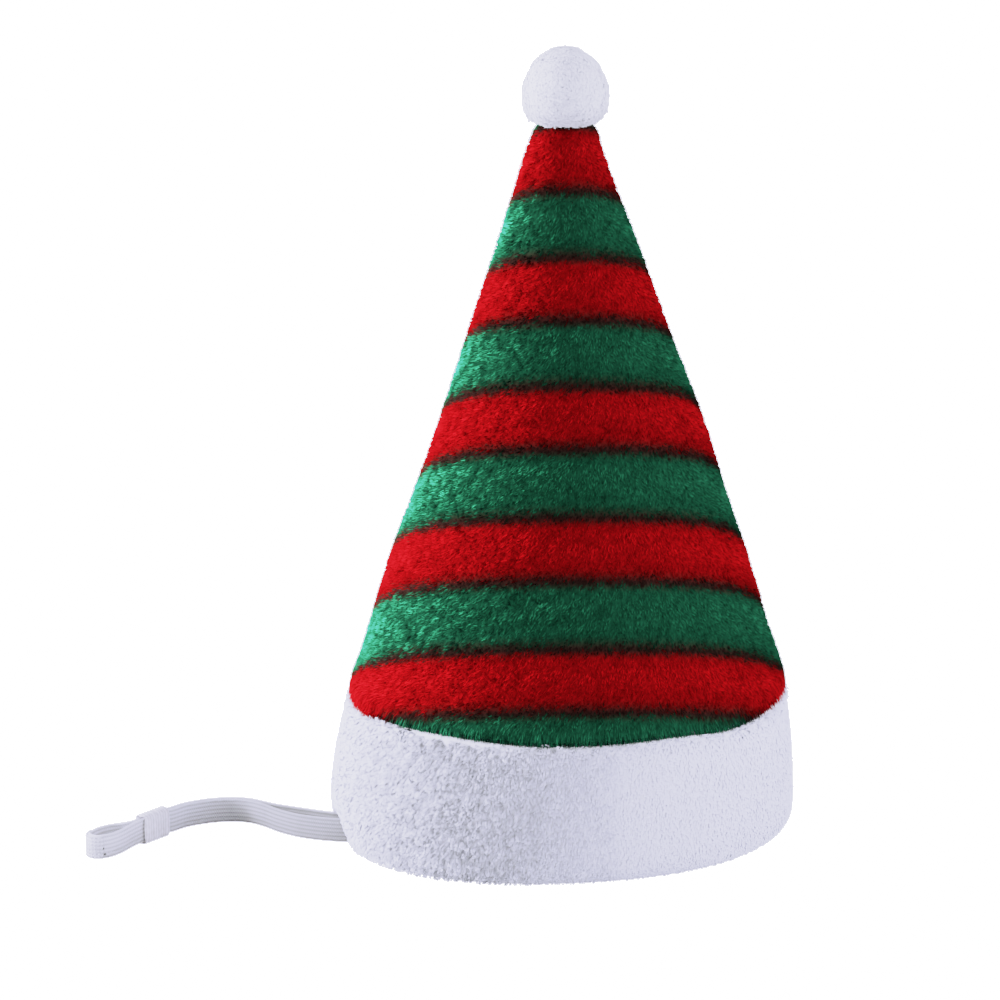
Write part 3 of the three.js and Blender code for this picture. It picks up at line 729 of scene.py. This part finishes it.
def striped_cloth_material():
    """The woven ground under the pile, dyed in the same stripes, darker as painted shade."""
    material, tree, shader = new_material("striped ground", Roughness=0.9,
                                          Specular_IOR_Level=0.0)
    place = own_place(tree)
    from_apex = tree.nodes.new("ShaderNodeVectorMath")
    from_apex.operation = "SUBTRACT"
    from_apex.inputs[1].default_value = APEX
    tree.links.new(place, from_apex.inputs[0])
    slant = tree.nodes.new("ShaderNodeVectorMath")
    slant.operation = "LENGTH"
    tree.links.new(from_apex.outputs[0], slant.inputs[0])
    aside, behind, _ = split(tree, from_apex.outputs[0])
    front = sums(tree, "MULTIPLY", behind, -1.0)
    fan = sums(tree, "MULTIPLY", sums(tree, "ARCTAN2", aside, front), math.sin(HALF_ANGLE))
    down = sums(tree, "MULTIPLY", slant.outputs["Value"], sums(tree, "COSINE", fan))
    stops = []
    # Painted shade: the ground's colours are a share of the pile's
    for row, edge in enumerate(STRIPE_EDGES):
        above, below = (GREEN, RED) if row % 2 == 0 else (RED, GREEN)
        stops += [((edge - GROUND_ABOVE) / FAN_REACH, tuple(GROUND_SHADE * c for c in above)),
                  (edge / FAN_REACH, DARK),
                  ((edge + GROUND_BELOW) / FAN_REACH, tuple(GROUND_SHADE * c for c in below))]
    colour = colour_ramp(tree, sums(tree, "DIVIDE", down, FAN_REACH), stops, "EASE")
    squeeze = tree.nodes.new("ShaderNodeVectorMath")
    squeeze.operation = "MULTIPLY"
    squeeze.inputs[1].default_value = (1, 1, GRAIN_SQUEEZE)
    tree.links.new(place, squeeze.inputs[0])
    grain = grain_at(tree, squeeze.outputs[0], GROUND_GRAIN)
    streaks = scaled(tree, colour, sums(tree, "MULTIPLY", grain, 2.0))
    tree.links.new(streaks, shader.inputs["Base Color"])
    bump(tree, shader, grain, strength=0.4, distance=GROUND_RELIEF)
    return material


def outside_of_cone(places, normals):
    """1 on the cone's outer face, 0 on its inner one."""
    outward = places - np.array([APEX.x, 0, 0])
    outward[:, 2] = 0
    return ((unit(outward) * normals).sum(1) + 0.6 * np.maximum(normals[:, 2], 0) > 0.15) * 1.0


def crown_sink_share(places, normals):
    """How much of the sink the cone's face takes: none at the seam, all of it further up."""
    above_seam = places[:, 2] - BAND_TOP
    return outside_of_cone(places, normals) * np.clip(above_seam / SEAM_FADE, 0, 1)


crown = copy_of_solid("crown", "crown_cloth")
finish_with(crown, "SUBSURF", levels=1, render_levels=1)
sink(crown, crown_sink_share, CROWN_SINK)
dress(crown, striped_cloth_material())
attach(crown, "root")
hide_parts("crown")

dice = np.random.default_rng(11)
roots, skin = scatter(crown, outside_of_cone, CROWN_PILE, dice)
middles, middle_skin = scatter(crown, outside_of_cone, CROWN_CLUMPS, dice)


def nap(places, normals, lean, aslant):
    """Directions of pile that leans down the cone, and aslant towards the left seen from outside."""
    down = places - np.array(APEX)
    down = unit(down - (down * normals).sum(1)[:, None] * normals)
    left = np.cross(down, normals)
    along = np.cos(aslant)[:, None] * down + np.sin(aslant)[:, None] * left
    return unit(np.cos(lean)[:, None] * normals + np.sin(lean)[:, None] * along)


def around(places):
    """Angles round the hat: 0 at the front, and more towards +X."""
    return np.arctan2(places[:, 0], -places[:, 1])


def patch(places, middle, spread):
    """1 at that many degrees round the hat, falling smoothly to 0 on both sides."""
    away = np.degrees(around(places)) - middle
    return np.exp(-((away / spread) ** 2))


def parting_at_seam(places):
    """How much the pile is parted by the seam down the back, and the way that it is parted."""
    aside = places[:, :1] - APEX.x
    parting = np.exp(-np.abs(aside) / SEAM_WIDTH) * (places[:, 1:2] > 0)
    return parting, parting * np.sign(aside) * [1, 0, 0]


ruffled = patch(roots, RUFFLED_MIDDLE, RUFFLED_SPREAD)[:, None]
clump_lean = np.radians(NAP_LEAN + NAP_LEAN_DRIFT * drift(middles, 0.004, 1))
clump_aslant = np.radians(NAP_ASIDE) - np.radians(NAP_ASIDE_TURN) * np.sin(around(middles))
clump_aslant = clump_aslant + np.radians(NAP_ASIDE_DRIFT * drift(middles, 0.006, 2))
clump_way = nap(middles, middle_skin, clump_lean, clump_aslant)
clump_length = PILE_LENGTH * (1 + CLUMP_UNEVEN * drift(middles, 0.0025, 3))
clump_tip = middles + clump_length[:, None] * clump_way

slope = math.radians(CLUMP_SLOPE)
turned = np.array([[math.cos(slope), math.sin(slope)], [-math.sin(slope), math.cos(slope)]])
narrow = np.array([1.0, 1 / CLUMP_LONG])
flat_roots = np.column_stack([on_flat_cloth(roots) @ turned * narrow, np.zeros(len(roots))])
flat_middles = np.column_stack([on_flat_cloth(middles) @ turned * narrow, np.zeros(len(middles))])
clump = nearest(flat_roots, flat_middles)

way = unit(clump_way[clump] + FIBRE_JITTER * dice.normal(size=roots.shape))
length = clump_length[clump] * (1 + LENGTH_JITTER * dice.normal(size=len(roots)))
hang = np.clip(HANG_FULL - (roots[:, 2:] - BAND_TOP) / HANG_HEIGHT, 0, 1)
outward = unit(roots * [1, 1, 0])
way = unit(way + hang * (HANG_OUT * outward + [0, 0, -1.0] - way))
length *= 1 + HANG_LONGER * hang[:, 0]
parting, parted = parting_at_seam(roots)
way = unit(way + PARTED * parted)
length *= 1 - PARTED_SHORTER * parting[:, 0]
tips = roots + length[:, None] * way
gather = GATHER * np.exp(-np.linalg.norm(roots - middles[clump], axis=1) / GATHER_REACH)
tips += gather[:, None] * (1 - hang) * (clump_tip[clump] - tips)
starts = roots - ROOT_DEPTH * skin

# Flecks from fibre to fibre and from clump to clump, with painted shade in the gaps between the
# clumps
fleck_and_gap_shade = strength(FIBRE_FLECK, ruffled[:, 0]) * dice.normal(size=len(roots))
fleck_and_gap_shade += strength(CLUMP_FLECK, ruffled[:, 0]) * dice.normal(size=len(middles))[clump]
fleck_and_gap_shade = np.where(fleck_and_gap_shade > 0, PALE_FLECK, DARK_FLECK) * fleck_and_gap_shade
off_middle = np.linalg.norm((flat_roots - flat_middles[clump]), axis=1) / CLUMP_SIZE
fleck_and_gap_shade += strength(CLUMP_GAP_SHADE, ruffled[:, 0]) * (0.3 - np.clip(off_middle, 0, 1.2) ** 2)
left = np.clip(-np.sin(around(roots)) - LEFT_FROM, 0, 1) / (1 - LEFT_FROM)
soft = relief(roots, skin + PARTED_GROOVE * parted, middles, clump, CLUMP_SIZE,
              strength(CLUMP_BULGE, ruffled), strength(FIBRE_RUFFLE, ruffled), dice)
width = uneven(PILE_WIDTH, len(roots), dice)
width *= 1 - HANG_THINNER * hang[:, 0]

# Which stripe each fibre is seen in, a little past its middle, and how near to a dark line
seen = roots + SEEN_AT * (tips - roots)
seen_down = on_flat_cloth(seen)[:, 1] + CLUMP_RAGGED * dice.normal(size=len(middles))[clump]
down_cloth = seen_down + EDGE_RAGGED * dice.normal(size=len(roots))
edge_at = np.array(STRIPE_EDGES)
row = np.searchsorted(edge_at, down_cloth)
from_edge = np.abs(down_cloth[:, None] - edge_at).min(1)
below = seen_down[:, None] - edge_at
below = below[np.arange(len(roots)), np.abs(below).argmin(1)]
near_dark = np.exp(-np.abs(below) / np.where(below < 0, FADE_ABOVE, FADE_BELOW))
# Painted light: on the left the colours darken less near a dark line
near_dark *= 1 - LEFT_LESS_DARK * left
low_left = left * np.clip((LOW_FROM - roots[:, 2]) / LOW_FADE, 0, 1)
dark = from_edge < DARK_HALF * (1 + DARK_DRIFT * drift(middles, 0.01, 4)
                                + DARK_UNEVEN * dice.normal(size=len(middles)))[clump]
red = ~dark & (row % 2 == 1)
green = ~dark & (row % 2 == 0)
# The left, far left and low left shares, and the ruffled one for the green, lighten the pile as
# painted light
shares = {"fleck_and_gap_shade": fleck_and_gap_shade, "left": left, "far_left": left**4, "low_left": low_left,
          "ruffled": ruffled[:, 0], "near_dark": near_dark}
for name, chosen, colour in (("red", red, RED), ("green", green, GREEN), ("dark", dark, DARK)):
    stronger = sum(much * shares[share] for share, much in TONE_FOLLOWS[name].items())
    tone = 0.5 + stronger / PILE_SPREAD
    pile = fibres("crown_pile_" + name, starts[chosen], tips[chosen], width[chosen],
                  soft[chosen], tone[chosen], dice,
                  fibre_material(name + " pile", colour, PILE_ROOT_SHADE, PILE_SPREAD))
    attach(pile, "root")


# Brim band

# A wide band of white plush, doubled over a little padding and sewn to the crown's lower edge. Its
# pile is fluffed into small crumbs on the left and brushed smooth on the right.
BAND_PILE = 74000
BAND_CLUMPS = 9000
BAND_CLUMP_SIZE = 0.0008  # a clump's reach from its middle
CRUMBS_MIDDLE = -32  # degrees round from the front: the pile is fluffed into crumbs here
CRUMBS_SPREAD = 30
BRUSHED_LEAN = 77  # degrees that the brushed pile leans over, and how much less the crumbs do
CRUMBS_LEAN = 32
BRUSHED_ASIDE = 12
PRESSED_FROM = -0.002  # pile to the right of here is pressed flat by the brushing,
PRESSED_FADE = 0.016  # fully so after this far
CRUMB_GATHER = 0.4
# Strengths as (where the pile is brushed smooth, how much more where it is crumbs)
BAND_ASIDE_DRIFT = (0.15, 0.25)
BAND_UNEVEN = (0.04, 0.1)
BAND_JITTER = (0.05, 0.1)
BAND_BULGE = (0.03, 0.16)
BAND_RUFFLE = (0.02, 0.02)
BAND_FLECK = (0.01, 0.015)
BAND_LENGTH_JITTER = 0.06
MOTTLE = 0.22  # patches of a few crumbs that are greyer or paler
CRUMB_MOTTLE = 0.07
# painted shade: crumbs are greyer than brushed pile, and darker between one and the next
CRUMBS_SHADE = 0.20
CRUMB_GAP_SHADE = 0.08
HEM_HEIGHT = 0.004  # below this the pile is shorter, down to the share HEM_SHORT
HEM_SHORT = 0.35
BAND_SINK = 0.0005
INSIDE_COVER = 0.25  # how thick the pile is inside the band, as a share of outside
TUCKED_IN = 0.0006  # the band's topmost edge is bare, where the crown covers it
BAND_PILE_LENGTH = 0.0013
BAND_PILE_WIDTH = 0.00022
WHITE = (0.77, 0.785, 0.91)
WHITE_ROOT_SHADE = 0.85
WHITE_SPREAD = 2.0
BAND_GRAIN = 900
BAND_RELIEF = 0.0003
GROUND_TINTS = [(0.3, (0.68, 0.69, 0.75)), (0.7, (0.77, 0.78, 0.85))]
FLOOR_REST = 0.0002  # no fibre goes lower


def white_ground_material():
    """The knitted ground of the white plush, and the packed fibres in the pompom's middle."""
    material, tree, shader = new_material("white ground", Roughness=0.9, Specular_IOR_Level=0.0)
    grain = grain_at(tree, own_place(tree), BAND_GRAIN)
    tree.links.new(colour_ramp(tree, grain, GROUND_TINTS), shader.inputs["Base Color"])
    bump(tree, shader, grain, strength=0.4, distance=BAND_RELIEF)
    return material


def band_cover(places, normals):
    """How thickly the pile covers the band: fully outside, thinly inside, not under the crown."""
    outward = places * np.array([1, 1, 0])
    cover = np.where((unit(outward) * normals).sum(1) > -0.2, 1.0, INSIDE_COVER)
    under_crown = places[:, 2] > BAND_TOP - TUCKED_IN
    return cover * ~under_crown * (normals[:, 2] > -0.75)


def band_sink_share(places, normals):
    """How much of the sink the band takes: none along its top edge."""
    return np.clip((BAND_TOP - places[:, 2]) / SEAM_FADE, 0, 1)


band = copy_of_solid("brim_band", "brim_band_pad")
finish_with(band, "SUBSURF", levels=1, render_levels=1)
sink(band, band_sink_share, BAND_SINK)
white_ground = white_ground_material()
dress(band, white_ground)
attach(band, "root")
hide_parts("brim_band")

dice = np.random.default_rng(12)
roots, skin = scatter(band, band_cover, BAND_PILE, dice)
middles, middle_skin = scatter(band, band_cover, BAND_CLUMPS, dice)
crumbly = patch(middles, CRUMBS_MIDDLE, CRUMBS_SPREAD)
aslant = np.radians(90 * drift(middles, 0.003, 5))
aslant = np.radians(BRUSHED_ASIDE) + strength(BAND_ASIDE_DRIFT, crumbly) * aslant
clump_way = nap(middles, middle_skin, np.radians(BRUSHED_LEAN - CRUMBS_LEAN * crumbly), aslant)
clump_length = 1 + strength(BAND_UNEVEN, crumbly) * drift(middles, 0.0016, 6)
clump_length = BAND_PILE_LENGTH * clump_length
clump_tip = middles + clump_length[:, None] * clump_way
clump = nearest(roots, middles)
crumbly = crumbly[clump][:, None]
way = unit(clump_way[clump] + strength(BAND_JITTER, crumbly) * dice.normal(size=roots.shape))
length = clump_length[clump] * (1 + BAND_LENGTH_JITTER * dice.normal(size=len(roots)))
length *= np.clip(roots[:, 2] / HEM_HEIGHT, HEM_SHORT, 1)
parting, parted = parting_at_seam(roots)
way = unit(way + PARTED * parted)
length *= 1 - PARTED_SHORTER * parting[:, 0]
tips = roots + length[:, None] * way
tips += CRUMB_GATHER * crumbly * (clump_tip[clump] - tips)
soft = relief(roots, skin + PARTED_GROOVE * parted, middles, clump, BAND_CLUMP_SIZE,
              strength(BAND_BULGE, crumbly), strength(BAND_RUFFLE, crumbly), dice)
starts = roots - ROOT_DEPTH * skin
starts[:, 2] = np.maximum(starts[:, 2], FLOOR_REST)
tips[:, 2] = np.maximum(tips[:, 2], FLOOR_REST)

# Painted shade: crumbs are greyer than brushed pile, and darker between one and the next, over
# patches that are greyer or paler at random
off_middle = np.linalg.norm(roots - middles[clump], axis=1) / BAND_CLUMP_SIZE
mottle_and_shade = MOTTLE * drift(middles, 0.0022, 7) + CRUMB_MOTTLE * dice.normal(size=len(middles))
mottle_and_shade = mottle_and_shade[clump] - CRUMBS_SHADE - CRUMB_GAP_SHADE * np.clip(off_middle, 0, 1.4) ** 2
tone = 0.5 + strength(BAND_FLECK, crumbly[:, 0]) * dice.normal(size=len(roots))
tone += crumbly[:, 0] * mottle_and_shade
width = uneven(BAND_PILE_WIDTH, len(roots), dice)
flat = np.clip((roots[:, 0] - PRESSED_FROM) / PRESSED_FADE, 0, 1)
white_pile = fibre_material("white pile", WHITE, WHITE_ROOT_SHADE, WHITE_SPREAD)
for name, chosen in (("front", roots[:, 1] < 0), ("back", roots[:, 1] >= 0)):
    pile = fibres("brim_pile_" + name, starts[chosen], tips[chosen], width[chosen],
                  soft[chosen], tone[chosen], dice, white_pile, blunt=True, flat=flat[chosen])
    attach(pile, "root")


# Pompom

# A ball of soft white fibres, tied in the middle and cut round, then sewn on over the cone's tip.
# Its lowest fibres are pressed short there, and the finest of them hang a little over the crown.
POMPOM_PILE = 36000
POMPOM_CLUMPS = 900
POMPOM_CLUMP_SIZE = 0.0011
POMPOM_SINK = 0.0008
POMPOM_PILE_LENGTH = 0.0013
POMPOM_WIDTH = 0.00026
POMPOM_FRINGE = 3500  # finer fibres that hang over the crown
POMPOM_WHITE = (0.84, 0.85, 0.91)
POMPOM_LEAN = 0.05
POMPOM_JITTER = 0.18
POMPOM_UNEVEN = (0.06, 0.2)  # a strength as (on top, how much more underneath)
POMPOM_CLUMP_UNEVEN = 0.05
POMPOM_SHORTER_BELOW = 0.55
# painted shade on the ball's under side
POMPOM_SHADE_BELOW = 0.3
POMPOM_RELIEF = 0.03
POMPOM_FLECK = 0.05
FRINGE_FROM = -0.35  # how far up on the ball the fringe starts, from -1 to 1,
FRINGE_TO = -0.8  # and how far down it ends
FRINGE_DROOP = 0.5
FRINGE_JITTER = 0.35
FRINGE_FLECK = 0.2
FRINGE_WIDTH = 0.3  # share of the other fibres' width
FRINGE_SHORTEST = 0.6  # shares of the other fibres' length
FRINGE_LONGEST = 1.3
POMPOM_ROOT_SHADE = 0.93
POMPOM_SPREAD = 0.8
FRINGE_ROOT_SHADE = 0.85
FRINGE_SPREAD = 0.08
POMPOM_VOXEL = 0.0006  # grain of the mesh that the ball's core is made again from
POMPOM_EVENED = 40  # times that this mesh is smoothed


def all_over(places, normals):
    """1 everywhere."""
    return np.ones(len(places))


pompom = copy_of_solid("pompom", "pompom_core")
finish_with(pompom, "REMESH", mode="VOXEL", voxel_size=POMPOM_VOXEL)
finish_with(pompom, "SMOOTH", factor=0.5, iterations=POMPOM_EVENED)
sink(pompom, all_over, POMPOM_SINK)
pompom_low, pompom_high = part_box("pompom")
POMPOM_MIDDLE = np.array([(pompom_low.x + pompom_high.x) / 2, 0.0,
                          pompom_low.z + 0.45 * (pompom_high.z - pompom_low.z)])


def outside_of_ball(places, normals):
    """1 where the ball's skin faces outward."""
    outward = unit(places - POMPOM_MIDDLE)
    return ((outward * normals).sum(1) > 0.25) * 1.0


dress(pompom, white_ground)
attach(pompom, "root")
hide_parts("pompom")

dice = np.random.default_rng(13)
roots, skin = scatter(pompom, outside_of_ball, POMPOM_PILE, dice)
middles, middle_skin = scatter(pompom, outside_of_ball, POMPOM_CLUMPS, dice)
clump = nearest(roots, middles)
outward = unit(roots - POMPOM_MIDDLE)
clump_way = POMPOM_LEAN * dice.normal(size=middles.shape)
way = unit(outward + clump_way[clump] + POMPOM_JITTER * dice.normal(size=roots.shape))
low = np.clip(-2.0 * outward[:, 2] - 0.6, 0, 1)  # 1 on the ball's under side
length = 1 - POMPOM_SHORTER_BELOW * low
length += strength(POMPOM_UNEVEN, low) * dice.normal(size=len(roots))
length += POMPOM_CLUMP_UNEVEN * dice.normal(size=len(middles))[clump]
length *= POMPOM_PILE_LENGTH
tips = roots + length[:, None] * way
# Painted shade: the under side is greyer
tone = 0.5 + POMPOM_FLECK * dice.normal(size=len(roots)) - POMPOM_SHADE_BELOW * low
width = uneven(POMPOM_WIDTH, len(roots), dice)
soft = relief(roots, outward, middles, clump, POMPOM_CLUMP_SIZE, POMPOM_RELIEF, POMPOM_RELIEF,
              dice)
pile = fibres("pompom_fibres", roots - ROOT_DEPTH * skin, tips, width, soft, tone, dice,
              fibre_material("pompom fibre", POMPOM_WHITE, POMPOM_ROOT_SHADE, POMPOM_SPREAD),
              blunt=True)
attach(pile, "root")


def under_side(places, normals):
    """1 on the part of the ball's under side that hangs over the crown."""
    outward = unit(places - POMPOM_MIDDLE)
    return ((outward[:, 2] < FRINGE_FROM) & (outward[:, 2] > FRINGE_TO)) * 1.0


roots, skin = scatter(pompom, under_side, POMPOM_FRINGE, dice)
outward = unit(roots - POMPOM_MIDDLE)
way = unit(outward - [0, 0, FRINGE_DROOP] + FRINGE_JITTER * dice.normal(size=roots.shape))
length = POMPOM_PILE_LENGTH * dice.uniform(FRINGE_SHORTEST, FRINGE_LONGEST, len(roots))
tips = roots + length[:, None] * way
tone = 0.5 + FRINGE_FLECK * dice.normal(size=len(roots))
width = FRINGE_WIDTH * POMPOM_WIDTH * np.ones(len(roots))
soft = unit(outward + [0, 0, 0.4])
pile = fibres("pompom_fringe", roots, tips, width, soft, tone, dice,
              fibre_material("pompom fringe", POMPOM_WHITE, FRINGE_ROOT_SHADE, FRINGE_SPREAD))
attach(pile, "root")


# Studio

# A white floor and soft light: a large key on the left, a weaker one on the right and a wide
# one overhead. The camera sees the floor and the surroundings as plain white.
WHITE_POINT = 4.5  # light that the picture shows as full white
GLOW = WHITE_POINT * 1.6  # what the floor and the surroundings show the camera
FLOOR_GLOW = 0.88  # share of it on the floor, so that the hat's shadow shows faintly
FLOOR_SIZE = 8
LIGHTS_AIM = Vector((0, 0, 0.09))
LIGHTS = [  # name, place, size, power, colour
    ("key", (-1.3, 0.0, 0.50), 0.5, 56.0, (1.0, 1.0, 1.0)),
    ("fill", (1.3, -0.30, 0.60), 0.7, 26.0, (0.98, 0.98, 1.0)),
    ("top", (0.0, 0.1, 1.5), 1.2, 9.0, (1.0, 1.0, 1.0)),
    ("front", (-0.1, -1.8, 1.1), 1.0, 10.5, (1.0, 1.0, 1.0)),
]
# The picture's tones, with a long and slightly cool shoulder: light from the scene, and what is
# shown for it in red and green, and in blue
TONES = [(0.25, 0.25, 0.25), (0.5, 0.46, 0.48), (0.75, 0.58, 0.64), (1.0, 0.65, 0.73),
         (1.4, 0.71, 0.785), (1.9, 0.755, 0.82), (2.6, 0.79, 0.845), (3.7, 0.82, 0.87)]


def white_to_camera(tree, plain, share):
    """Mixes a plain shader with white light that only the camera sees."""
    path = tree.nodes.new("ShaderNodeLightPath")
    glow = tree.nodes.new("ShaderNodeEmission")
    glow.inputs["Color"].default_value = (1, 1, 1, 1)
    glow.inputs["Strength"].default_value = GLOW
    mix = tree.nodes.new("ShaderNodeMixShader")
    tree.links.new(sums(tree, "MULTIPLY", path.outputs["Is Camera Ray"], share), mix.inputs[0])
    tree.links.new(plain, mix.inputs[1])
    tree.links.new(glow.outputs[0], mix.inputs[2])
    return mix.outputs[0]


bpy.ops.mesh.primitive_plane_add(size=FLOOR_SIZE)
floor = bpy.context.object
floor.name = "floor"
floor_material, tree, shader = new_material("white floor", Roughness=0.8,
                                            Base_Color=(0.85, 0.85, 0.86, 1))
tree.links.new(white_to_camera(tree, shader.outputs[0], FLOOR_GLOW),
               tree.nodes["Material Output"].inputs["Surface"])
floor.data.materials.append(floor_material)

world = bpy.data.worlds.new("studio")
bpy.context.scene.world = world
world.use_nodes = True
tree = world.node_tree
surround = tree.nodes["Background"]
surround.inputs["Color"].default_value = (0.96, 0.97, 1.0, 1)
surround.inputs["Strength"].default_value = 0.55
tree.links.new(white_to_camera(tree, surround.outputs[0], 1.0),
               tree.nodes["World Output"].inputs["Surface"])

for name, place, size, power, colour in LIGHTS:
    bpy.ops.object.light_add(type="AREA", location=place)
    light = bpy.context.object
    light.name = name + "_light"
    light.data.shape = "SQUARE"
    light.data.size = size
    light.data.energy = power
    light.data.color = colour
    light.rotation_mode = "QUATERNION"
    light.rotation_quaternion = (LIGHTS_AIM - Vector(place)).to_track_quat("-Z", "Y")

settings = bpy.context.scene.view_settings
settings.view_transform = "Standard"
settings.use_curve_mapping = True
curves = settings.curve_mapping
curves.extend = "HORIZONTAL"
curves.white_level = (WHITE_POINT,) * 3
for channel in range(3):
    points = curves.curves[channel].points
    for tone in TONES:
        points.new(tone[0] / WHITE_POINT, tone[2] if channel == 2 else tone[1])
    for point in points:
        point.handle_type = "AUTO_CLAMPED"
curves.update()
